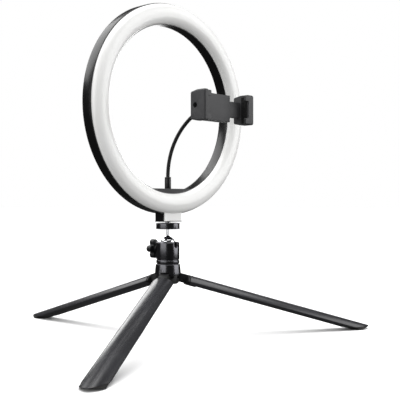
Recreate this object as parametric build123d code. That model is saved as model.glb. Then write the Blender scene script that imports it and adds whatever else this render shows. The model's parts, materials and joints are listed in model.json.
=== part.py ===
from build123d import *
from math import atan, cos, degrees, radians, sin, sqrt
import os

# Ring light on a folding table tripod, with a phone holder on a gooseneck.
# Millimetres, +Z up, the light faces -Y.  Everything is drawn about the tripod's
# upright axis (x = y = 0, floor at z = 0) and then moved along Y by axis_y, so the
# origin is the centre of the footprint on the floor.
axis_y = -67.85

# light ring
ring_z = 285.4          # height of the ring's centre
ring_r = 130.0          # outside of the rear housing, a 10 inch class ring
hole_r = 104.0          # open middle of the ring
front_y = -7.9          # parting plane between the housing and the diffuser
back_y = 8.6            # rear face of the housing
wall = 2.0              # housing wall
mid_r = 117.0           # radius on which the LEDs and the screws are centred
screw_count = 6
led_count = 60          # per row, two rows
led_rows = (112.0, 122.0)
gland_angle = 285.0     # where the power lead enters, degrees around the ring
lead_r = 1.8            # bore of the cable gland

# mounting block under the ring
block_half = 15.2
block_z = 146.0
thread_r = 3.15         # quarter inch camera thread

# platform and ball head
disc_r = 14.8
disc_z = (136.8, 144.3)
ball_z = 118.5
ball_r = 9.5
stem_r = 2.0
head_r = 14.5
head_z = (99.0, 121.2)
notch_half = 3.2
notch_z = 113.6
base_z = 93.3
knob_z = 111.6
knob_y = (16.6, 27.0)

# hub and legs
collar_z = 80.6
collar_r = (16.4, 15.2)     # at the bottom and at the top
yoke_r = 13.8
yoke_z = (69.0, 90.0)
leg_azimuths = (-30.0, 90.0, -150.0)
leg_r = 16.5            # the folded legs make a round grip of this radius
leg_depth = 12.0
leg_wall = 1.6
leg_slope = degrees(atan(0.296))
crown_top = 87.0        # where the legs' top lines meet the upright axis
pivot_r = 10.5
crown = leg_r + 0.3 - pivot_r                    # top line above the pivot
pivot_z = crown_top - 0.296 * pivot_r - crown / cos(radians(leg_slope))
pin_r = 1.5
knuckle_half = 5.5
shell_x = 16.25         # where a leg's shell starts, along the leg from its pivot
leg_long = 330.0        # drawn longer than the leg, and cut at the foot
foot_z = 4.0
foot_end = ((279.6, 4.0), (262.0, 0.0))

# bracket and gooseneck
bracket_half = 34.0
bracket_top = 187.0
neck_r = 2.4
neck_start = Vector(0, 0, 201.6)
neck_lift = Vector(0, 0, 53.4)
neck_end = Vector(14.0, -48.0, 283.0)
neck_reach = Vector(0, 13.6, 0)
neck_cuts = (0.1, 0.3, 0.5, 0.7, 0.9)            # joints along the neck's length

# phone holder
holder_ball = Vector(14.0, -58.0, 283.0)
swivel_r = 5.0
holder_x = (-27.6, 30.0)
holder_y = (-76.2, -64.0)
holder_half = 16.0
jaw_half = 18.2
jaw_tip_y = -88.0
lip_y = -85.0
jaw_thick = 5.8
pad_thick = 1.2
phone_x = (-20.6, 50.4)
lip_over = 4.2

parts = {}


def block(x0, x1, y0, y1, z0, z1):
    centre = Pos((x0 + x1) / 2, (y0 + y1) / 2, (z0 + z1) / 2)
    return centre * Box(x1 - x0, y1 - y0, z1 - z0)


def rod_x(x0, x1, y, z, r):
    return Pos((x0 + x1) / 2, y, z) * Rot(0, 90, 0) * Cylinder(r, x1 - x0)


def rod_y(x, z, y0, y1, r):
    return Pos(x, (y0 + y1) / 2, z) * Rot(90, 0, 0) * Cylinder(r, y1 - y0)


def rod_z(x, y, z0, z1, r):
    return Pos(x, y, (z0 + z1) / 2) * Cylinder(r, z1 - z0)


def cone_y(x, z, y0, y1, r0, r1):
    """A cone along +Y, of radius r0 at y0 and r1 at y1."""
    return Pos(x, (y0 + y1) / 2, z) * Rot(-90, 0, 0) * Cone(r0, r1, y1 - y0)


def on_ring(r, angle):
    """X and Z of a point at radius r of the ring, angle in degrees from +X."""
    return r * cos(radians(angle)), ring_z + r * sin(radians(angle))


def ring_band(r0, r1, y0, y1):
    """A plain band around the ring's axis."""
    return rod_y(0, ring_z, y0, y1, r1) - rod_y(0, ring_z, y0 - 1, y1 + 1, r0)


def band_face(r0, r1, y0, y1):
    return Pos((r0 + r1) / 2, (y0 + y1) / 2) * Rectangle(r1 - r0, y1 - y0)


# ---------------------------------------------------------------- light ring
def screw_places():
    return [on_ring(mid_r, k * 360 / screw_count) for k in range(screw_count)]


def rear_housing():
    outer = band_face(hole_r, ring_r, front_y, back_y)
    outer = fillet(outer.vertices().group_by(Axis.Y)[-1], 3.6)
    inner = band_face(hole_r + wall, ring_r - wall, front_y - 1, back_y - wall)
    inner = fillet(inner.vertices().group_by(Axis.Y)[-1], 1.8)
    body = Pos(0, 0, ring_z) * revolve(outer - inner, Axis.Y)

    foot = block(-block_half, block_half, front_y, 7.3, block_z + 0.9, 160)
    foot = fillet(foot.edges() | Axis.Z, 1.0)
    foot += block(-block_half, block_half, front_y - 1.5, 7.3, block_z, block_z + 0.9)
    body += foot - rod_y(0, ring_z, -20, 20, ring_r - 1)
    body -= rod_z(0, 0, block_z - 1, block_z + 9.3, 4.75)

    for x, z in screw_places():
        body += rod_y(x, z, back_y - wall - 2, back_y - wall + 0.5, 4)
        body -= rod_y(x, z, back_y - wall, back_y + 1, 2.8)
        body -= rod_y(x, z, back_y - 6, back_y, 1.5)
    x, z = on_ring(mid_r, gland_angle)
    body -= rod_y(x, z, 0, back_y + 1, 3.3)
    for side in (-1, 1):
        body -= rod_z(side * 20, 0, 178, 186, 1.35)
    return body


def diffuser():
    outside = [
        Line((128.8, -7.9), (128.8, -10.9)),
        ThreePointArc((128.8, -10.9), (126.4, -14.2), (122.0, -16.2)),
        ThreePointArc((122.0, -16.2), (117.3, -16.9), (112.4, -16.2)),
        ThreePointArc((112.4, -16.2), (107.7, -13.6), (104.8, -7.9)),
        Line((104.8, -7.9), (106.4, -7.9)),
    ]
    inside = [
        ThreePointArc((106.4, -7.9), (108.9, -12.5), (112.9, -14.7)),
        ThreePointArc((112.9, -14.7), (117.3, -15.3), (121.4, -14.7)),
        ThreePointArc((121.4, -14.7), (125.3, -13.0), (127.2, -10.6)),
        Line((127.2, -10.6), (127.2, -7.9)),
        Line((127.2, -7.9), (128.8, -7.9)),
    ]
    profile = make_face(Curve() + outside + inside)
    profile += band_face(126.3, 127.7, -9.6, -5.4)
    profile += band_face(106.25, 107.5, -9.6, -5.4)
    body = Pos(0, 0, ring_z) * revolve(profile, Axis.Y)
    tab = block(-14.5, 14.5, front_y - 1.5, front_y - 0.1, block_z + 1.0, 160)
    body += tab - rod_y(0, ring_z, -20, 20, 127.6)
    for x, z in screw_places():
        body += rod_y(x, z, -15.8, 4.5, 2.9)
        body -= rod_y(x, z, -9, 5, 1.35)
    return body


def led_board():
    body = ring_band(109, 125, 3.1, 4.5)
    for x, z in screw_places():
        body -= rod_y(x, z, 2, 6, 3.3)
    return body


def led_places():
    step = 360 / led_count
    return [(r, (k + 0.5) * step) for r in led_rows for k in range(led_count)]


def led_chips():
    chips = []
    for r, angle in led_places():
        x, z = on_ring(r, angle)
        chips.append(Pos(x, 2.75, z) * Rot(0, -angle, 0) * Box(2.8, 0.7, 3.5))
    return Compound(children=chips)


def reflector():
    tray = band_face(108.2, 125.8, -5.0, 2.2) - band_face(108.9, 125.1, -6, 1.6)
    body = Pos(0, 0, ring_z) * revolve(tray, Axis.Y)
    holes = [rod_y(*on_ring(r, angle), 1, 3, 2.4) for r, angle in led_places()]
    holes += [rod_y(x, z, 1, 3, 3.3) for x, z in screw_places()]
    return body - holes


def housing_screws():
    screws = []
    for x, z in screw_places():
        head = rod_y(x, z, back_y - wall + 0.02, back_y - 0.3, 2.6)
        head -= block(x - 1.8, x + 1.8, back_y - 1.0, back_y, z - 0.35, z + 0.35)
        head -= block(x - 0.35, x + 0.35, back_y - 1.0, back_y, z - 1.8, z + 1.8)
        screws.append(head + rod_y(x, z, -7.5, back_y - wall + 0.1, 1.25))
    return Compound(children=screws)


def cable_gland():
    x, z = on_ring(mid_r, gland_angle)
    body = rod_y(x, z, 5.0, 6.55, 4.6) + rod_y(x, z, 5.0, back_y, 3.2)
    body += rod_y(x, z, back_y + 0.05, back_y + 1.6, 5.0)
    body += cone_y(x, z, back_y, 22.0, 4.2, 2.9)
    for k in range(4):
        start = 12.0 + 2.4 * k
        body -= rod_y(x, z, start, start + 0.8, 6) - rod_y(x, z, 0, 30, 3.0 - 0.1 * k)
    return body - rod_y(x, z, 0, 30, lead_r)


def lead_wires():
    x, z = on_ring(mid_r, gland_angle)
    return Compound(children=[rod_x(x - 20, x - 6, 5.55, z + dz, 0.6) for dz in (-1, 1)])


def mount_insert():
    body = rod_z(0, 0, block_z + 0.2, block_z + 9.2, 4.7)
    groove = rod_z(0, 0, 150, 151.4, 5) - rod_z(0, 0, 149, 152, 4.3)
    return body - groove - rod_z(0, 0, block_z - 1, block_z + 10, thread_r + 0.05)


# ------------------------------------------------------- platform, ball head
def platform_disc():
    body = rod_z(0, 0, *disc_z, disc_r)
    body = fillet(body.edges().group_by(Axis.Z)[0], 0.8)
    body = fillet(body.edges().group_by(Axis.Z)[-1], 0.5)
    body -= rod_z(0, 0, disc_z[1] - 0.9, 150, 12.6)
    body -= rod_z(0, 0, disc_z[0] - 1, disc_z[0] + 3.4, stem_r + 0.05)
    return body - rod_z(0, 0, disc_z[0] + 4.0, 150, thread_r)


def platform_pad():
    z = disc_z[1]
    return rod_z(0, 0, z - 0.88, z + 0.1, 12.5) - rod_z(0, 0, 130, 150, thread_r + 0.1)


def platform_screw():
    return rod_z(0, 0, disc_z[0] + 4.05, block_z + 8.0, thread_r - 0.03)


def ball_stem():
    body = Pos(0, 0, ball_z) * Sphere(ball_r)
    body -= rod_z(0, 0, ball_z + 9.2, 140, 10)
    collar = Pos(0, 0, ball_z + 9.7) * Cone(2.9, stem_r, 1.2)
    return body + collar + rod_z(0, 0, ball_z + 9, disc_z[0] + 3.3, stem_r)


def ball_seat():
    """A nylon ring under the ball, round inside and out so that it can roll with it."""
    shell = Sphere(ball_r + 1.5) - Sphere(ball_r + 0.1)
    low = (ball_r + 1.5) * cos(radians(158))
    high = (ball_r + 1.5) * cos(radians(125))
    return Pos(0, 0, ball_z) * (shell & rod_z(0, 0, low, high, 20))


def head_housing():
    body = rod_z(0, 0, *head_z, head_r)
    body = chamfer(body.edges().group_by(Axis.Z)[-1], 1.4)
    body = chamfer(body.edges().group_by(Axis.Z)[0], 0.5)
    body += rod_y(0, knob_z, 10, 16.2, 5.0)
    cavity = Sphere(ball_r + 1.62) & rod_z(0, 0, -20, 1.4, 20)
    body -= Pos(0, 0, ball_z) * (cavity + Sphere(ball_r + 0.12))
    body -= rod_z(0, 0, 104.5, ball_z - 6, 8)
    body -= rod_z(0, 0, 98, 106, thread_r + 0.05)
    notch = block(-notch_half, notch_half, -20, -2, notch_z + notch_half, 130)
    body -= notch + rod_y(0, notch_z + notch_half, -20, -2, notch_half)
    body -= rod_y(0, knob_z, 4, 13.2, 3.05)
    return body - rod_y(0, knob_z, 4, 18, 2.6)


def head_base_ring():
    body = rod_z(0, 0, base_z, head_z[0], 13.7)
    body += chamfer(rod_z(0, 0, 93.9, 98.5, head_r).edges(), 0.7)
    return body - rod_z(0, 0, 90, 100, thread_r + 0.05)


def lock_pad():
    return rod_y(0, knob_z, 10.6, 12.2, 3.0)


def lock_screw():
    return rod_y(0, knob_z, 12.3, 23.0, 2.5)


def lock_knob():
    waist = []
    for k in range(5):
        a = 36 + 72 * k
        tip, dip = Vector(12.4, 0).rotate(Axis.Z, a), Vector(7.9, 0).rotate(Axis.Z, a + 36)
        start = Vector(8.632, 0).rotate(Axis.Z, a - 28.75)
        stop = Vector(8.632, 0).rotate(Axis.Z, a + 28.75)
        after = Vector(8.632, 0).rotate(Axis.Z, a + 72 - 28.75)
        waist += [ThreePointArc(start, tip, stop), ThreePointArc(stop, dip, after)]
    outline = make_face(Curve() + waist)
    lobes = extrude(Plane.XZ * outline, -(knob_y[1] - 19.0))
    lobes = chamfer(lobes.edges().group_by(Axis.Y)[-1], 1.0)
    lobes = chamfer(lobes.edges().group_by(Axis.Y)[0], 0.6)
    body = Pos(0, 19.0, knob_z) * lobes
    body += rod_y(0, knob_z, knob_y[0], 20, 5.6)
    body -= rod_y(0, knob_z, knob_y[1] - 0.8, knob_y[1] + 1, 4.6)
    return body - rod_y(0, knob_z, 10, 23.05, 2.52)


# --------------------------------------------------------------- hub and legs
def hub_collar():
    body = Pos(0, 0, (collar_z + base_z) / 2) * Cone(*collar_r, base_z - collar_z)
    body = fillet(body.edges().group_by(Axis.Z)[-1], 0.8)
    body -= rod_z(0, 0, 70, yoke_z[1], yoke_r + 0.05)
    body -= rod_z(0, 0, 80, 100, thread_r + 0.1)
    for azimuth in leg_azimuths:
        body -= Rot(0, 0, azimuth) * block(8, 20, -5.9, 5.9, 70, 83.0)
    return body


def hub_yoke():
    body = rod_z(0, 0, *yoke_z, yoke_r)
    body = chamfer(body.edges().group_by(Axis.Z)[0], 1.5)
    body -= rod_z(0, 0, 85, 95, thread_r + 0.05)
    for azimuth in leg_azimuths:
        slot = block(4.2, 20, -5.7, 5.7, 60, 83.45)
        slot += Pos(pivot_r, 0, pivot_z) * Rot(90, 0, 0) * Cylinder(pin_r + 0.02, 30)
        body -= Rot(0, 0, azimuth) * slot
    return body


def hub_stud():
    return rod_z(0, 0, 85.1, 104.2, thread_r)


def leg_pins():
    pin = Pos(pivot_r, 0, pivot_z) * Rot(90, 0, 0) * Cylinder(pin_r, 17.4)
    return Compound(children=[Rot(0, 0, azimuth) * pin for azimuth in leg_azimuths])


def leg_outline(inset):
    """A third of a round bar, cut flat on the inside, about the leg's pivot."""
    apex = crown - leg_r
    wedge = make_face(Polyline((0, apex), (45, apex + 45 / sqrt(3)),
                               (-45, apex + 45 / sqrt(3)), close=True))
    face = (Pos(0, apex) * Circle(leg_r)) & wedge
    face &= band_face(-30, 30, crown - leg_depth, 40)
    face = fillet(face.vertices(), 1.1)
    return offset(face, amount=-inset) if inset else face


def leg_bar(x0, x1, inset=0.0):
    plane = Plane(origin=(x0, 0, 0), x_dir=(0, 1, 0), z_dir=(1, 0, 0))
    return extrude(plane * leg_outline(inset), x1 - x0)


def leg_place():
    """From a leg's own frame, along +X from its pivot, to the open leg at azimuth 0."""
    return Pos(pivot_r, 0, pivot_z) * Rot(0, leg_slope, 0)


def leg_shell():
    body = leg_bar(shell_x, leg_long) - leg_bar(shell_x - 1, leg_long + 1, leg_wall)
    return leg_place() * body - block(0, 400, -40, 40, -60, foot_z)


def leg_knuckle():
    body = Rot(90, 0, 0) * Cylinder(5.2, 2 * knuckle_half)
    body += block(0, 15, -knuckle_half, knuckle_half, -5.2, 5.9)
    body += leg_bar(13.6, shell_x - 0.05, 0.7)
    body += leg_bar(shell_x - 0.1, 34, leg_wall + 0.1)
    body += block(13.6, shell_x - 0.05, -knuckle_half, knuckle_half, -6.7, -4)
    body += block(13.6, 27, -knuckle_half, knuckle_half, -6.7, -5.75)
    body -= Rot(90, 0, 0) * Cylinder(pin_r + 0.06, 30)
    return leg_place() * body


def leg_foot():
    (x1, z1), (x0, z0) = foot_end
    run = (x1 - x0) / (z1 - z0)
    side = Polyline((200, -0.0), (x0, 0), (x1, z1), (x1 + 6 * run, z1 + 6),
                    (200, z1 + 6), close=True)
    wedge = extrude(Plane.XZ * make_face(side), 40, both=True)
    tread = (leg_place() * leg_bar(200, leg_long, 0.5)) & wedge
    tread &= block(0, 400, -40, 40, 0, foot_z - 0.02)
    plug = leg_place() * leg_bar(200, leg_long, leg_wall + 0.1)
    plug &= block(0, 400, -40, 40, foot_z - 0.1, foot_z + 5)
    return tread + plug


# -------------------------------------------------------- bracket, gooseneck
def holder_bracket():
    body = block(-bracket_half, bracket_half, front_y, 8.1, 180, bracket_top)
    body &= rod_y(0, ring_z, -20, 20, hole_r - 0.05)
    body -= rod_z(0, 0, 183.0, 190, 2.05)
    for side in (-1, 1):
        body -= rod_z(side * 20, 0, 185.2, 190, 2.9)
        body -= rod_z(side * 20, 0, 180, 190, 1.6)
    return body


def bracket_screws():
    screws = []
    for side in (-1, 1):
        head = rod_z(side * 20, 0, 185.22, 186.9, 2.7)
        head -= block(side * 20 - 1.6, side * 20 + 1.6, -0.35, 0.35, 186.0, 188)
        screws.append(head + rod_z(side * 20, 0, 180.3, 185.3, 1.3))
    return Compound(children=screws)


def bracket_stud():
    return rod_z(0, 0, 183.1, 193.0, 2.0)


def neck_base():
    body = rod_z(0, 0, bracket_top, neck_start.Z, 4.0)
    body = chamfer(body.edges().group_by(Axis.Z)[-1], 0.6)
    body -= rod_z(0, 0, 198.9, 199.6, 5) - rod_z(0, 0, 198, 201, 3.7)
    return body - rod_z(0, 0, 180, 193.1, 2.05)


def neck_point(t):
    """A point of the neck's centre line, a cubic curve from t = 0 to 1."""
    a = neck_start
    b = neck_start + neck_lift
    c = neck_end + neck_reach
    d = neck_end
    s = 1 - t
    return a * s**3 + b * (3 * s * s * t) + c * (3 * s * t * t) + d * t**3


def neck_times():
    """Curve parameters at which the neck is cut, evenly along its length."""
    steps = 400
    points = [neck_point(k / steps) for k in range(steps + 1)]
    runs = [0.0]
    for a, b in zip(points, points[1:]):
        runs.append(runs[-1] + (b - a).length)
    times = []
    for share in neck_cuts:
        k = min(range(steps + 1), key=lambda i: abs(runs[i] - share * runs[-1]))
        times.append(k / steps)
    return times


def neck_span(t0, t1):
    arc = ThreePointArc(neck_point(t0), neck_point((t0 + t1) / 2), neck_point(t1))
    return sweep(Plane(arc @ 0, z_dir=arc % 0) * Circle(neck_r), path=arc)


def neck_tubes():
    """Six lengths of tube: each starts in a round end and stops in a hollow one."""
    times = [0.0] + neck_times() + [1.0]
    tubes = []
    for k, (t0, t1) in enumerate(zip(times, times[1:])):
        tube = neck_span(t0, t1)
        if k > 0:
            start = neck_point(t0)
            tube += Pos(start) * Sphere(neck_r)
        if k < len(neck_cuts):
            end = neck_point(t1)
            tube -= Pos(end) * Sphere(neck_r + 0.35)
        tubes.append(tube)
    tubes[-1] -= rod_y(neck_end.X, neck_end.Z, -50, -42.5, 6)
    return tubes


def neck_top():
    x, z = neck_end.X, neck_end.Z
    body = rod_y(x, z, -49.0, -42.52, 4.0)
    body = chamfer(body.edges().group_by(Axis.Y)[0], 0.6)
    return body - rod_y(x, z, -50, -45.5, 2.45)


# --------------------------------------------------------------- phone holder
def neck_ball():
    b = holder_ball
    return Pos(b) * Sphere(swivel_r) + rod_y(b.X, b.Z, b.Y, -45.7, 2.4)


def ball_liner():
    shell = Sphere(swivel_r + 0.95) - Sphere(swivel_r + 0.1)
    cap = rod_y(0, 0, -10, -3.0, 10) - rod_y(0, 0, -12, 0, 1.5)
    return Pos(holder_ball) * (shell & cap)


def nut_ring():
    b = holder_ball
    body = rod_y(b.X, b.Z, b.Y + 0.3, b.Y + 1.95, 7.9)
    return body - Pos(b) * Sphere(swivel_r + 0.1)


def lock_nut():
    b = holder_ball
    body = rod_y(b.X, b.Z, b.Y - 5.5, b.Y + 4.5, 10.4)
    body = chamfer(body.edges().group_by(Axis.Y)[-1], 1.2)
    body = chamfer(body.edges().group_by(Axis.Y)[0], 0.5)
    for k in range(18):
        flute = Pos(b) * Rot(0, 20 * k, 0) * Pos(11.1, 0, 0) * Rot(90, 0, 0)
        body -= flute * Cylinder(1.1, 30)
    body -= rod_y(b.X, b.Z, b.Y - 6, b.Y + 2.0, 8.3)
    return body - cone_y(b.X, b.Z, b.Y + 1.9, b.Y + 4.6, 4.9, 5.7)


def jaw_side(x0, x1, tip):
    """A jaw's plate: as tall as the holder at the back, taller at its tip."""
    y0, y1 = holder_y
    side = Polyline((y1, holder_half), (y0 + 1.5, jaw_half), (tip, jaw_half),
                    (tip, -jaw_half), (y0 + 1.5, -jaw_half), (y1, -holder_half),
                    close=True)
    face = fillet(make_face(side).vertices(), 2.2)
    plane = Plane(origin=(x0, 0, holder_ball.Z), x_dir=(0, 1, 0), z_dir=(1, 0, 0))
    return extrude(plane * face, x1 - x0)


def jaw_hooks(x0, x1):
    """The two hooks, one above the other, that keep the phone from falling forward."""
    zc = holder_ball.Z
    hooks = block(x0, x1, jaw_tip_y, lip_y, zc + 10.5, zc + 17)
    hooks += block(x0, x1, jaw_tip_y, lip_y, zc - 17, zc - 10.5)
    return fillet(hooks.edges() | Axis.Y, 1.2)


def clamp_body():
    (x0, x1), (y0, y1), zc = holder_x, holder_y, holder_ball.Z
    body = block(x0 + 1, x1, y0, y1 - 1.85, zc - holder_half, zc + holder_half)
    jaw = jaw_side(x0, phone_x[0] - pad_thick, jaw_tip_y)
    front = (jaw.edges() | Axis.Z).group_by(Axis.Y)[0]
    body += chamfer(front.sort_by(Axis.X)[0], 1.6) + jaw_hooks(x0 + 3, phone_x[0] + lip_over)
    body -= block(-17.5, 28.0, y0 + 2.0, y1 + 1, zc - 14, zc + 14)
    body -= block(27, 31, -74.4, -67.4, zc - 9.8, zc + 9.8)
    body -= block(x0 + 7.0, x1 + 1, y1 - 1.85, y1 + 1, zc - 20, zc + 20)
    body -= rod_x(x0 - 1, x0 + 8.0, -72.4, zc, thread_r + 0.05)
    for z in (zc - 11.9, zc + 11.9):
        body -= rod_x(-20.5, 32, -70.9, z, 0.92)
    for x, z in cover_screw_places():
        body -= rod_y(x, z, y0 + 3, y1, 0.85)
    return body


def cover_screw_places():
    zc = holder_ball.Z
    return [(x, zc + dz) for x in (-19.0, 29.0) for dz in (-14.6, 14.6)]


def clamp_cover():
    (x0, x1), (y0, y1), zc, b = holder_x, holder_y, holder_ball.Z, holder_ball
    body = block(x0 + 7.05, x1, y1 - 1.8, y1, zc - holder_half, zc + holder_half)
    body = fillet(body.edges().group_by(Axis.Y)[-1], 0.6)
    body += rod_y(b.X, b.Z, y1 - 0.5, b.Y, 8.2)
    body -= Pos(b) * Sphere(swivel_r + 1.05)
    for x, z in cover_screw_places():
        body -= rod_y(x, z, y1 - 2, y1 + 1, 1.2)
    return body


def cover_screws():
    y1 = holder_y[1]
    screws = []
    for x, z in cover_screw_places():
        head = rod_y(x, z, y1 + 0.02, y1 + 1.0, 1.3)
        head -= block(x - 1.0, x + 1.0, y1 + 0.6, y1 + 2, z - 0.25, z + 0.25)
        screws.append(head + rod_y(x, z, -71.5, y1 + 0.1, 0.8))
    return Compound(children=screws)


def fixed_jaw_pad():
    zc = holder_ball.Z
    x1 = phone_x[0]
    return block(x1 - pad_thick + 0.02, x1, lip_y + 0.1, holder_y[0] - 0.1, zc - 16, zc + 16)


def guide_rods():
    zc = holder_ball.Z
    rods = [rod_x(-20.3, 29.8, -70.9, z, 0.9) for z in (zc - 11.9, zc + 11.9)]
    return Compound(children=rods)


def clamp_springs():
    """Two compression springs on the guide rods, drawn as their outer sleeves."""
    zc = holder_ball.Z
    sleeves = []
    for z in (zc - 11.9, zc + 11.9):
        sleeve = rod_x(2.1, 27.9, -70.9, z, 1.9) - rod_x(0, 30, -70.9, z, 1.2)
        sleeves.append(sleeve)
    return Compound(children=sleeves)


def sliding_jaw():
    zc = holder_ball.Z
    inner = phone_x[1] + pad_thick
    outer = inner + 10.4
    arm = block(-1.0, inner + 2, -73.9, -67.9, zc - 9.5, zc + 9.5)
    arm += block(-2.0, 2.0, -73.9, -67.9, zc - 13.7, zc + 13.7)
    for z in (zc - 11.9, zc + 11.9):
        arm -= rod_x(-5, 5, -70.9, z, 0.98)
    head = jaw_side(inner, outer, jaw_tip_y)
    head = fillet(head.edges().group_by(Axis.X)[-1], 2.6)
    hollow = block(inner + 3.0, outer - 2.2, jaw_tip_y + 3, -66, zc - 14, zc + 14)
    return arm + head - hollow + jaw_hooks(phone_x[1] - lip_over, inner + 4)


def sliding_jaw_pad():
    zc = holder_ball.Z
    x0 = phone_x[1]
    return block(x0, x0 + pad_thick - 0.02, lip_y + 0.1, holder_y[0] - 0.1, zc - 16, zc + 16)


def gather():
    for make in (rear_housing, diffuser, led_board, led_chips, reflector, housing_screws,
                 cable_gland, lead_wires, mount_insert, platform_disc, platform_pad,
                 platform_screw, ball_stem, ball_seat, head_housing, head_base_ring,
                 lock_pad, lock_screw, lock_knob, hub_collar, hub_yoke, hub_stud,
                 leg_pins, holder_bracket, bracket_screws, bracket_stud, neck_base,
                 neck_top, neck_ball, ball_liner, nut_ring, lock_nut, clamp_body,
                 clamp_cover, cover_screws, fixed_jaw_pad, guide_rods, clamp_springs,
                 sliding_jaw, sliding_jaw_pad):
        parts[make.__name__] = make()
    for k, tube in enumerate(neck_tubes()):
        parts[f"neck_tube_{k}"] = tube
    for make in (leg_shell, leg_knuckle, leg_foot):
        piece = make()
        for k, azimuth in enumerate(leg_azimuths, 1):
            name = make.__name__.replace("leg_", f"leg_{k}_")
            parts[name] = Rot(0, 0, azimuth) * piece


def main():
    gather()
    os.makedirs("parts", exist_ok=True)
    whole = Compound(children=[Pos(0, axis_y, 0) * piece for piece in parts.values()])
    for name, piece in parts.items():
        export_step(Pos(0, axis_y, 0) * piece, f"parts/{name}.step")
    box = whole.bounding_box()
    print("box", box.min, box.max)
    print("pivot height", pivot_z, "neck joints", [neck_point(t) for t in neck_times()])


main()
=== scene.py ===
import bmesh
import bpy
import json
import math
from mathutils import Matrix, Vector


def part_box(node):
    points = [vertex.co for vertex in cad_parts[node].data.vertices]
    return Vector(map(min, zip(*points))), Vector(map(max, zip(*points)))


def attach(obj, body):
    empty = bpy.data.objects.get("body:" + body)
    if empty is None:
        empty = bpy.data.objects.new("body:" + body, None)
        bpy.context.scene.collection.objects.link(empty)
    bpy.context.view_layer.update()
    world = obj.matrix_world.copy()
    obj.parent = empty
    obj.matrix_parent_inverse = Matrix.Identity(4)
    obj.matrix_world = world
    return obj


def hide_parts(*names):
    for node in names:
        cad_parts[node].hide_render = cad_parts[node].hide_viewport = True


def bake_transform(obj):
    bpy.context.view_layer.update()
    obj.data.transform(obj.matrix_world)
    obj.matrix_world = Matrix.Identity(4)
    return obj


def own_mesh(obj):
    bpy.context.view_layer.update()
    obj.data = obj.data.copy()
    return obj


# A ring light on a folding table tripod, with a phone holder on a gooseneck.
# The solid parts come packed. This file gives them their finishes, rounds the edges of the
# moulded and turned ones, and adds the wound gooseneck, the holder's springs, the jaws'
# ribbed pads and the studio.

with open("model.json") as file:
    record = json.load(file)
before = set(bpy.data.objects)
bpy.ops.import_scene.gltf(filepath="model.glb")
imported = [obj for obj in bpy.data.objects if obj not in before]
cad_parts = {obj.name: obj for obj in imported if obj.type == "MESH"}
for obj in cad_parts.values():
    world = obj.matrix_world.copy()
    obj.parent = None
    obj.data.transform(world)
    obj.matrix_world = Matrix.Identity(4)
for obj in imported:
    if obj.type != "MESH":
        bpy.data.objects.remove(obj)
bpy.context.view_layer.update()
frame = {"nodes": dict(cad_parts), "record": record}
nodes = frame["nodes"]
scene = bpy.context.scene

mm = 0.001
axisY = (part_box("mount_insert")[0].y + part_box("mount_insert")[1].y) / 2  # the tripod's upright axis


# An sRGB hex code as a linear colour.
def hexColour(code):
    channels = [int(code[k:k + 2], 16) / 255 for k in (0, 2, 4)]
    return [c / 12.92 if c <= 0.04045 else ((c + 0.055) / 1.055) ** 2.4 for c in channels] + [1]


def addNode(tree, kind, inputs=None, **settings):
    node = tree.nodes.new(kind)
    for name, value in settings.items():
        setattr(node, name, value)
    for name, value in (inputs or {}).items():
        if isinstance(value, bpy.types.NodeSocket):
            tree.links.new(value, node.inputs[name])
        else:
            node.inputs[name].default_value = value
    return node


def newMaterial(name):
    material = bpy.data.materials.new(name)
    material.use_nodes = True
    tree = material.node_tree
    tree.nodes.clear()
    shader = addNode(tree, "ShaderNodeBsdfPrincipled")
    addNode(tree, "ShaderNodeOutputMaterial", {"Surface": shader.outputs[0]})
    return material, shader


def setShader(shader, **values):
    for name, value in values.items():
        shader.inputs[name.replace("_", " ")].default_value = value


noiseRange = {"From Min": 0.3, "From Max": 0.7}  # most of a noise texture's values lie here
grainDepth = 0.25                                # depth of the bump, as a share of the grain's size


# A moulded or coated surface: two close shades that drift, a roughness that drifts with
# them, and a bump of the mould's own grain, with the lathe's rings added on turned parts.
# Sizes are in millimetres.
def finishedSurface(spec):
    material, shader = newMaterial(spec["name"])
    tree = material.node_tree
    place = addNode(tree, "ShaderNodeTexCoord").outputs["Object"]
    drift = addNode(tree, "ShaderNodeTexNoise", {
        "Vector": place, "Scale": 1000 / spec["driftMm"], "Detail": 3.0, "Roughness": 0.55})
    shade = addNode(tree, "ShaderNodeMapRange", {
        "Value": drift.outputs["Fac"], **noiseRange, "To Min": 0.0, "To Max": 1.0})
    colour = addNode(tree, "ShaderNodeMix", {"Factor": shade.outputs["Result"]}, data_type="RGBA")
    colour.inputs[6].default_value = hexColour(spec["dark"])   # the colour sockets of a Mix node
    colour.inputs[7].default_value = hexColour(spec["light"])
    tree.links.new(colour.outputs[2], shader.inputs["Base Color"])
    rough = addNode(tree, "ShaderNodeMapRange", {
        "Value": drift.outputs["Fac"], **noiseRange,
        "To Min": spec["rough"][0], "To Max": spec["rough"][1]})
    tree.links.new(rough.outputs["Result"], shader.inputs["Roughness"])
    grain = addNode(tree, "ShaderNodeTexNoise", {
        "Vector": place, "Scale": 1000 / spec["grainMm"], "Detail": 2.0, "Roughness": 0.5})
    height = grain.outputs["Fac"]
    if "turnedMm" in spec:
        ringScale = 1000 / spec["turnedMm"] / (2 * math.pi)
        rings = addNode(tree, "ShaderNodeTexWave", {
            "Vector": place, "Scale": ringScale, "Distortion": 0.4, "Detail": 1.0},
            wave_type="BANDS", bands_direction="Z")
        both = addNode(tree, "ShaderNodeMath", {
            0: rings.outputs["Fac"], 1: grain.outputs["Fac"]}, operation="ADD")
        height = both.outputs[0]
    bump = addNode(tree, "ShaderNodeBump", {
        "Height": height, "Strength": spec["bump"], "Distance": spec["grainMm"] * mm * grainDepth})
    tree.links.new(bump.outputs["Normal"], shader.inputs["Normal"])
    setShader(shader, **spec.get("shader", {}))
    return material


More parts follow.
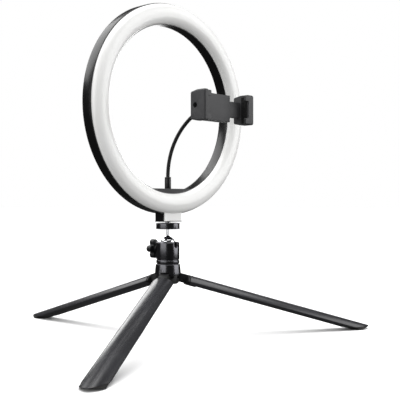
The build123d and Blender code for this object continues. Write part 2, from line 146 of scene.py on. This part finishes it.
# The real grain of these moulds, platings and lathe marks is a tenth of a millimetre or
# finer, so it is drawn coarser here, to show at all.
finishes = {
    # injection moulded ABS: nearly black, with a soft sheen along the curves
    "black shell": {"name": "mouldedAbsShell", "dark": "070708", "light": "0b0b0c", "rough": (0.2, 0.28),
                    "driftMm": 40, "grainMm": 1.6, "bump": 0.12, "shader": {"IOR": 1.54}},
    # moulded opal polycarbonate: milky white with a smooth, slightly deep surface
    "diffuser": {"name": "opalPolycarbonate", "dark": "f4f4f2", "light": "f8f8f7", "rough": (0.2, 0.26),
                 "driftMm": 60, "grainMm": 2.5, "bump": 0.03,
                 "shader": {"IOR": 1.58, "Subsurface_Weight": 0.12, "Subsurface_Scale": 1.0,
                            "Subsurface_Radius": (0.003, 0.003, 0.003)}},
    # solder mask on a circuit board: flat, slightly warm white
    "board": {"name": "whiteSolderMask", "dark": "d8d8d2", "light": "e2e2dc", "rough": (0.3, 0.4),
              "driftMm": 20, "grainMm": 1.0, "bump": 0.05},
    # phosphor in clear gel: dull yellow squares
    "led": {"name": "phosphorGel", "dark": "d9b64a", "light": "e6c860", "rough": (0.3, 0.5),
            "driftMm": 2, "grainMm": 0.5, "bump": 0.1},
    # pressed white film: even and bright
    "reflector": {"name": "whiteReflectorFilm", "dark": "ececec", "light": "f4f4f4", "rough": (0.3, 0.4),
                  "driftMm": 20, "grainMm": 1.0, "bump": 0.05},
    # blackened steel: dark with small glints
    "screw steel": {"name": "blackenedScrewSteel", "dark": "1a1a1b", "light": "2a2a2c", "rough": (0.3, 0.45),
                    "driftMm": 3, "grainMm": 0.6, "bump": 0.15, "shader": {"Metallic": 1.0}},
    # zinc plated steel: pale grey and a little cloudy
    "stud steel": {"name": "zincPlatedSteel", "dark": "a5a5a8", "light": "c2c2c4", "rough": (0.22, 0.36),
                   "driftMm": 4, "grainMm": 0.7, "bump": 0.1, "shader": {"Metallic": 1.0}},
    # turned brass: warm, with fine rings round it
    "insert brass": {"name": "turnedBrass", "dark": "b08d3c", "light": "c9a552", "rough": (0.2, 0.32),
                     "driftMm": 4, "grainMm": 0.6, "bump": 0.1, "turnedMm": 0.4, "shader": {"Metallic": 1.0}},
    # sheathed wire: dull black
    "lead": {"name": "leadSheath", "dark": "0d0d0d", "light": "161616", "rough": (0.5, 0.6),
             "driftMm": 5, "grainMm": 0.5, "bump": 0.2},
    # dark anodised aluminium, turned: crisp bright and black bands
    "head metal": {"name": "anodisedAluminium", "dark": "5c5c60", "light": "666669", "rough": (0.2, 0.26),
                   "driftMm": 9, "grainMm": 0.5, "bump": 0.015, "turnedMm": 0.5, "shader": {"Metallic": 1.0}},
    # polished chrome plating: a near mirror
    "chrome ball": {"name": "polishedChrome", "dark": "d8d9dc", "light": "e4e5e8", "rough": (0.04, 0.09),
                    "driftMm": 7, "grainMm": 3.0, "bump": 0.02, "shader": {"Metallic": 1.0}},
    # unfilled moulded nylon: milky cream
    "nylon": {"name": "naturalNylon", "dark": "cfccc2", "light": "dbd8cf", "rough": (0.4, 0.5),
              "driftMm": 6, "grainMm": 0.6, "bump": 0.1},
    # moulded rubber: matt black
    "pad rubber": {"name": "padRubber", "dark": "0e0e0e", "light": "171717", "rough": (0.75, 0.9),
                   "driftMm": 6, "grainMm": 0.5, "bump": 0.4},
    # moulded rubber: matt black, a little smoother than the pads
    "foot rubber": {"name": "footRubber", "dark": "0c0c0c", "light": "141414", "rough": (0.7, 0.85),
                    "driftMm": 8, "grainMm": 0.6, "bump": 0.4},
    # moulded nylon: black, with a soft edge to its highlights
    "knob plastic": {"name": "mouldedNylonKnob", "dark": "121213", "light": "19191b", "rough": (0.38, 0.5),
                     "driftMm": 6, "grainMm": 0.6, "bump": 0.2},
    # glass filled nylon: black and slightly mottled
    "yoke plastic": {"name": "glassFilledNylon", "dark": "101011", "light": "181819", "rough": (0.42, 0.55),
                     "driftMm": 6, "grainMm": 0.7, "bump": 0.3},
    # moulded ABS: dark grey with a long, soft highlight
    "leg plastic": {"name": "sparkErodedAbs", "dark": "2b2b2d", "light": "313134", "rough": (0.22, 0.27),
                    "driftMm": 70, "grainMm": 0.8, "bump": 0.02, "shader": {"IOR": 1.54}},
    # moulded ABS: satin dark grey
    "bracket plastic": {"name": "bracketAbs", "dark": "2b2b2d", "light": "323234", "rough": (0.45, 0.55),
                        "driftMm": 12, "grainMm": 0.7, "bump": 0.2},
    # soft PVC over the wound wire: black with a line of light on each turn
    "neck sleeve": {"name": "softPvcSleeve", "dark": "0e0e0f", "light": "161617", "rough": (0.42, 0.55),
                    "driftMm": 6, "grainMm": 0.5, "bump": 0.2},
    # lacquer over turned metal: smooth black with faint rings
    "ferrule": {"name": "blackLacquer", "dark": "121213", "light": "1a1a1b", "rough": (0.3, 0.4),
                "driftMm": 5, "grainMm": 0.6, "bump": 0.1, "turnedMm": 0.5},
    # plated steel: bright and a little softer than the ball
    "stud chrome": {"name": "platedStud", "dark": "c0c0c4", "light": "d2d2d6", "rough": (0.12, 0.2),
                    "driftMm": 4, "grainMm": 1.0, "bump": 0.05, "shader": {"Metallic": 1.0}},
    # moulded ABS: satin charcoal
    "holder plastic": {"name": "holderAbs", "dark": "343436", "light": "3c3c3e", "rough": (0.48, 0.6),
                       "driftMm": 12, "grainMm": 0.6, "bump": 0.25},
    # drawn spring wire: pale grey with fine glints
    "spring steel": {"name": "springWire", "dark": "9c9ca0", "light": "b8b8bc", "rough": (0.2, 0.3),
                     "driftMm": 3, "grainMm": 0.5, "bump": 0.1, "shader": {"Metallic": 1.0}},
}
materials = {slotName: finishedSurface(spec) for slotName, spec in finishes.items()}
slotOf = {part["node"]: part["material_slot"] for part in frame["record"]["subparts"]}
for name, node in nodes.items():
    if not node.data.materials:
        node.data.materials.append(None)
    for k in range(len(node.data.materials)):
        node.data.materials[k] = materials[slotOf[name]]
print("finishes set on the packed nodes")


def startPiece():
    if bpy.context.mode != "OBJECT":
        bpy.ops.object.mode_set(mode="OBJECT")
    bpy.ops.object.select_all(action="DESELECT")


def applyAll(piece):
    startPiece()
    piece.select_set(True)
    bpy.context.view_layer.objects.active = piece
    for modifier in list(piece.modifiers):
        bpy.ops.object.modifier_apply(modifier=modifier.name)


# A closed length of wire wound along X: a circle swept round the axis, its two ends capped.
def windWire(name, spec, startX, length, turns):
    startPiece()
    bpy.ops.mesh.primitive_circle_add(
        vertices=spec["sides"], radius=spec["wireRadius"] * mm,
        location=(startX, spec["coilRadius"] * mm, 0))
    wire = bpy.context.object
    wire.name = name
    bpy.ops.object.transform_apply(location=True)
    screw = wire.modifiers.new("wind", "SCREW")
    screw.axis = "X"
    screw.screw_offset = length / turns
    screw.iterations = turns
    screw.steps = screw.render_steps = spec["stepsPerTurn"]
    applyAll(wire)
    bpy.ops.object.mode_set(mode="EDIT")
    bpy.ops.mesh.select_all(action="DESELECT")
    bpy.ops.mesh.select_non_manifold(extend=False)
    bpy.ops.mesh.edge_face_add()
    bpy.ops.mesh.select_all(action="SELECT")
    bpy.ops.mesh.normals_make_consistent(inside=False)
    bpy.ops.object.mode_set(mode="OBJECT")
    return wire


# The gooseneck: one wire wound round the neck's centre line, in five lengths laid end to end
# along it. Places and sizes are in millimetres.
gooseneck = {
    "start": (0, 0, 201.6), "startHandle": (0, 0, 255.0),
    "end": (14, -48, 283), "endHandle": (14, -34.4, 283),
    "seams": (0.0, 0.2, 0.4, 0.6, 0.8, 1.0),      # shares of the neck's length
    "bendHalf": 0.085,                            # half of each bend, as a share of the length
    "coilRadius": 1.94, "wireRadius": 0.46, "pitch": 0.86, "sides": 10, "stepsPerTurn": 20,
    "startBelow": 1.2,                            # how far the winding starts before the line does
    "measureSteps": 400,                          # points that the line's length is measured by
    "bodies": ("light", "neck_1", "neck_2", "neck_3", "neck_4", "neck_5"),
}


def neckPoint(point):
    return Vector((point[0] * mm, point[1] * mm + axisY, point[2] * mm))


def makeNeckCurve():
    startPiece()
    bpy.ops.curve.primitive_bezier_curve_add(location=(0, 0, 0))
    curve = bpy.context.object
    curve.data.dimensions = "3D"
    curve.data.resolution_u = 64
    curve.data.twist_mode = "MINIMUM"
    first, last = curve.data.splines[0].bezier_points
    for point in (first, last):
        point.handle_left_type = point.handle_right_type = "FREE"
    first.co, first.handle_right = neckPoint(gooseneck["start"]), neckPoint(gooseneck["startHandle"])
    first.handle_left = 2 * first.co - first.handle_right
    last.co, last.handle_left = neckPoint(gooseneck["end"]), neckPoint(gooseneck["endHandle"])
    last.handle_right = 2 * last.co - last.handle_left
    return curve


def makeGooseneck():
    curve = makeNeckCurve()
    total = curve.data.splines[0].calc_length()
    seams = gooseneck["seams"]
    lengths = len(seams) - 1
    for k in range(lengths):
        runStart, runEnd = seams[k] * total, seams[k + 1] * total
        if k == 0:
            runStart -= gooseneck["startBelow"] * mm
        turns = round((runEnd - runStart) / (gooseneck["pitch"] * mm))
        wire = windWire(f"neckWinding{k + 1}", gooseneck, runStart, runEnd - runStart, turns)
        bend = wire.modifiers.new("alongNeck", "CURVE")
        bend.object = curve
        bend.deform_axis = "POS_X"
        applyAll(wire)
        bpy.ops.object.shade_smooth()
        wire.data.materials.append(materials["neck sleeve"])
        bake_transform(wire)
        replaced = [f"neck_tube_{k}"]
        if k == lengths - 1:
            replaced.append(f"neck_tube_{lengths}")
        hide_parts(*replaced)
    bpy.data.objects.remove(curve)


makeGooseneck()
print("gooseneck wound")

# The holder's two compression springs, on the guide rods. Sizes are in millimetres.
holderSpring = {
    "wireRadius": 0.32, "coilRadius": 1.5, "turns": 13, "length": 25.4, "sides": 8, "stepsPerTurn": 20,
    "startGap": 0.3, "rodInset": 1.9,             # from the sides of the space the springs fill
    "keep": 0.42,                                 # share of its length that a pressed spring keeps
}


def makeSprings():
    low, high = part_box("clamp_springs")
    inset = holderSpring["rodInset"] * mm
    middleY = (low.y + high.y) / 2
    for k, height in enumerate((low.z + inset, high.z - inset), 1):
        spring = windWire(f"holderSpring{k}", holderSpring, low.x + holderSpring["startGap"] * mm,
                          holderSpring["length"] * mm, holderSpring["turns"])
        spring.location = (0, middleY, height)
        bpy.ops.object.transform_apply(location=True)
        bpy.ops.object.shade_smooth()
        spring.data.materials.append(materials["spring steel"])
        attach(spring, "holder")
        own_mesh(spring)
        if k == 1:
            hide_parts("clamp_springs")


makeSprings()
print("springs wound")

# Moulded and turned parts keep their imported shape, but with the small rounded edges that a
# mould or a file leaves. Edge radii and the merging distance are in millimetres, angles in
# degrees.
rounding = {
    "mergeWithin": 0.002,
    "flatUnder": 0.6,       # faces that meet flatter than this become one
    "sharpOver": 38.0,      # edges sharper than this are rounded
    "smoothUnder": 32.0,
    "segments": 3,
}
edgeRadius = {
    "rear_housing": 0.3, "platform_disc": 0.18, "head_housing": 0.2, "head_base_ring": 0.15,
    "lock_knob": 0.35, "hub_collar": 0.25, "hub_yoke": 0.25,
    "leg_1_shell": 0.3, "leg_2_shell": 0.3, "leg_3_shell": 0.3,
    "leg_1_knuckle": 0.3, "leg_2_knuckle": 0.3, "leg_3_knuckle": 0.3,
    "leg_1_foot": 0.35, "leg_2_foot": 0.35, "leg_3_foot": 0.35,
    "holder_bracket": 0.35, "neck_base": 0.2, "neck_top": 0.2, "cable_gland": 0.15,
    "clamp_body": 0.35, "clamp_cover": 0.25, "sliding_jaw": 0.35, "lock_nut": 0.2,
}


def camelName(words):
    first, *rest = words.split("_")
    return first + "".join(word.capitalize() for word in rest)


def roundEdges(name, radius):
    startPiece()
    mesh = bpy.data.meshes.new(camelName(name))
    shape = bmesh.new()
    shape.from_mesh(nodes[name].data)
    bmesh.ops.remove_doubles(shape, verts=shape.verts, dist=rounding["mergeWithin"] * mm)
    bmesh.ops.dissolve_limit(
        shape, angle_limit=math.radians(rounding["flatUnder"]), verts=shape.verts, edges=shape.edges)
    bmesh.ops.recalc_face_normals(shape, faces=shape.faces)
    shape.to_mesh(mesh)
    shape.free()
    piece = bpy.data.objects.new(camelName(name) + "Rounded", mesh)
    scene.collection.objects.link(piece)
    edge = piece.modifiers.new("roundedEdges", "BEVEL")
    edge.limit_method = "ANGLE"
    edge.angle_limit = math.radians(rounding["sharpOver"])
    edge.width = radius * mm
    edge.segments = rounding["segments"]
    edge.use_clamp_overlap = True
    applyAll(piece)
    bpy.ops.object.shade_smooth_by_angle(angle=math.radians(rounding["smoothUnder"]))
    piece.data.materials.clear()
    piece.data.materials.append(materials[slotOf[name]])
    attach(piece, bodyOf[name])
    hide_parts(name)


bodyOf = {node: body for body, names in frame["record"]["behaviour"]["bodies"].items() for node in names}
for name, radius in edgeRadius.items():
    roundEdges(name, radius)
print("edges rounded on", len(edgeRadius), "parts")

# The jaws' rubber pads: a thin plate with round ribs across it, facing the phone. Sizes are
# in millimetres, and a pad's side is 1 where its ribs face +X.
ribbedPad = {
    "pitch": 1.28, "ribRadius": 0.5, "ribSides": 16, "endGap": 0.5,
    "plate": 0.66, "edge": 0.2, "edgeSegments": 2, "smoothUnder": 40.0,
    "pads": {"fixed_jaw_pad": 1, "sliding_jaw_pad": -1},
}


def makeRibbedPad(name, side):
    low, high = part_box(name)
    middle, size = (low + high) / 2, high - low
    thickness = ribbedPad["plate"] * mm
    radius = ribbedPad["ribRadius"] * mm
    pitch = ribbedPad["pitch"] * mm
    backX, faceX = (low.x, high.x) if side > 0 else (high.x, low.x)
    startPiece()
    bpy.ops.mesh.primitive_cube_add(
        size=1, location=(backX + side * thickness / 2, middle.y, middle.z),
        scale=(thickness, size.y, size.z))
    plate = bpy.context.object
    plate.name = camelName(name) + "Ribbed"
    bpy.ops.object.transform_apply(location=True, rotation=True, scale=True)
    edge = plate.modifiers.new("roundedEdges", "BEVEL")
    edge.width = ribbedPad["edge"] * mm
    edge.segments = ribbedPad["edgeSegments"]
    applyAll(plate)
    startPiece()
    count = int((size.z - 2 * radius) / pitch) + 1
    bpy.ops.mesh.primitive_cylinder_add(
        vertices=ribbedPad["ribSides"], radius=radius, depth=size.y - 2 * ribbedPad["endGap"] * mm,
        location=(faceX - side * radius, middle.y, middle.z - (count - 1) * pitch / 2),
        rotation=(math.radians(90), 0, 0))
    rib = bpy.context.object
    bpy.ops.object.transform_apply(location=True, rotation=True, scale=True)
    row = rib.modifiers.new("ribs", "ARRAY")
    row.use_relative_offset = False
    row.use_constant_offset = True
    row.constant_offset_displace = (0, 0, pitch)
    row.count = count
    applyAll(rib)
    startPiece()
    rib.select_set(True)
    plate.select_set(True)
    bpy.context.view_layer.objects.active = plate
    bpy.ops.object.join()
    bpy.ops.object.shade_smooth_by_angle(angle=math.radians(ribbedPad["smoothUnder"]))
    plate.data.materials.append(materials[slotOf[name]])
    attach(plate, bodyOf[name])
    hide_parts(name)


for name, side in ribbedPad["pads"].items():
    makeRibbedPad(name, side)
print("jaw pads ribbed")

# The studio: a white floor under a wide overhead light, two tall soft boxes either side of
# the camera with a dark gap between them, a low white card behind, and a high box behind on
# the left. Bearings are degrees from +X about the tripod's axis, sizes and distances metres,
# and a box's strength is the radiance of its face.
studio = {
    "floorSize": 30.0, "floorColour": "f7f7f7", "floorRoughness": 0.8, "floorSpecular": 0.15,
    "floorBelow": 0.0003,                         # keeps the floor clear of the feet
    "surround": 1.0, "fill": 0.36, "glossFill": 0.05, "aimHeight": 0.2,
    "overhead": {"strength": 2.9, "spread": 70.0, "height": 3.0},
    "boxes": {
        "leftBox": {"bearing": 178.0, "distance": 1.7, "width": 1.9,
                    "low": 0.05, "high": 1.5, "strength": 1.9},
        "rightBox": {"bearing": 312.0, "distance": 1.7, "width": 1.6,
                     "low": 0.0, "high": 1.5, "strength": 2.6},
        "backCard": {"bearing": 45.0, "distance": 3.0, "width": 2.4,
                     "low": 0.0, "high": 1.3, "strength": 2.6},
        "highBox": {"bearing": 106.0, "distance": 1.5, "width": 1.7,
                    "low": 0.9, "high": 2.1, "strength": 2.6},
    },
}


# Reflections and bounced light leave the floor out, so the dark metal keeps its black bands.
def makeFloor():
    startPiece()
    bpy.ops.mesh.primitive_plane_add(size=studio["floorSize"], location=(0, 0, -studio["floorBelow"]))
    floor = bpy.context.object
    floor.name = "studioFloor"
    material, shader = newMaterial("paleFloor")
    setShader(shader, Base_Color=hexColour(studio["floorColour"]),
              Roughness=studio["floorRoughness"], Specular_IOR_Level=studio["floorSpecular"])
    floor.data.materials.append(material)
    floor.visible_diffuse = floor.visible_glossy = False


# The surround looks white, but it lights the object less, and shows least in reflections.
def makeWorld():
    world = scene.world or bpy.data.worlds.new("studio")
    scene.world = world
    world.use_nodes = True
    tree = world.node_tree
    tree.nodes.clear()
    white = hexColour("ffffff")
    seen, lit, dim = [
        addNode(tree, "ShaderNodeBackground", {"Color": white, "Strength": studio[level]})
        for level in ("surround", "fill", "glossFill")]
    path = addNode(tree, "ShaderNodeLightPath")
    soft = addNode(tree, "ShaderNodeMixShader", {
        0: path.outputs["Is Glossy Ray"], 1: lit.outputs[0], 2: dim.outputs[0]})
    choice = addNode(tree, "ShaderNodeMixShader", {
        0: path.outputs["Is Camera Ray"], 1: soft.outputs[0], 2: seen.outputs[0]})
    addNode(tree, "ShaderNodeOutputWorld", {"Surface": choice.outputs[0]})


def makeLights():
    overhead = studio["overhead"]
    bpy.ops.object.light_add(type="SUN", location=(0, 0, overhead["height"]))
    sky = bpy.context.object
    sky.name = "overheadLight"
    sky.data.energy = overhead["strength"]
    sky.data.angle = math.radians(overhead["spread"])
    for name, spec in studio["boxes"].items():
        bearing = math.radians(spec["bearing"])
        middle = (spec["low"] + spec["high"]) / 2
        away = spec["distance"]
        place = Vector((away * math.cos(bearing), away * math.sin(bearing) + axisY, middle))
        bpy.ops.object.light_add(type="AREA", location=place)
        box = bpy.context.object
        box.name = name
        box.data.shape = "RECTANGLE"
        box.data.size, box.data.size_y = spec["width"], spec["high"] - spec["low"]
        box.data.energy = spec["strength"] * box.data.size * box.data.size_y * math.pi
        aimHeight = middle
        if spec["low"] >= studio["aimHeight"]:
            aimHeight = studio["aimHeight"]  # a box that starts higher than this tips down
        aim = Vector((0, axisY, aimHeight))
        box.rotation_euler = (aim - place).to_track_quat("-Z", "Y").to_euler()
        box.visible_camera = False


makeFloor()
makeWorld()
makeLights()

# The camera: place and clipping in metres, heading in degrees from +X, lens and sensor in
# millimetres.
camera = {
    "place": (-0.6830, -0.6878, 0.1714), "heading": 42.83, "tilt": 0.09,
    "lens": 69.84, "sensor": 36, "clip": (0.02, 30),
}


def makeCamera():
    x, y, z = camera["place"]
    turn = (math.radians(90 + camera["tilt"]), 0, math.radians(camera["heading"] - 90))
    bpy.ops.object.camera_add(location=(x, y + axisY, z), rotation=turn)
    viewer = bpy.context.object
    viewer.data.sensor_width = camera["sensor"]
    viewer.data.lens = camera["lens"]
    viewer.data.clip_start, viewer.data.clip_end = camera["clip"]
    scene.camera = viewer


makeCamera()
scene.view_settings.view_transform = "Standard"
print("studio and camera set")
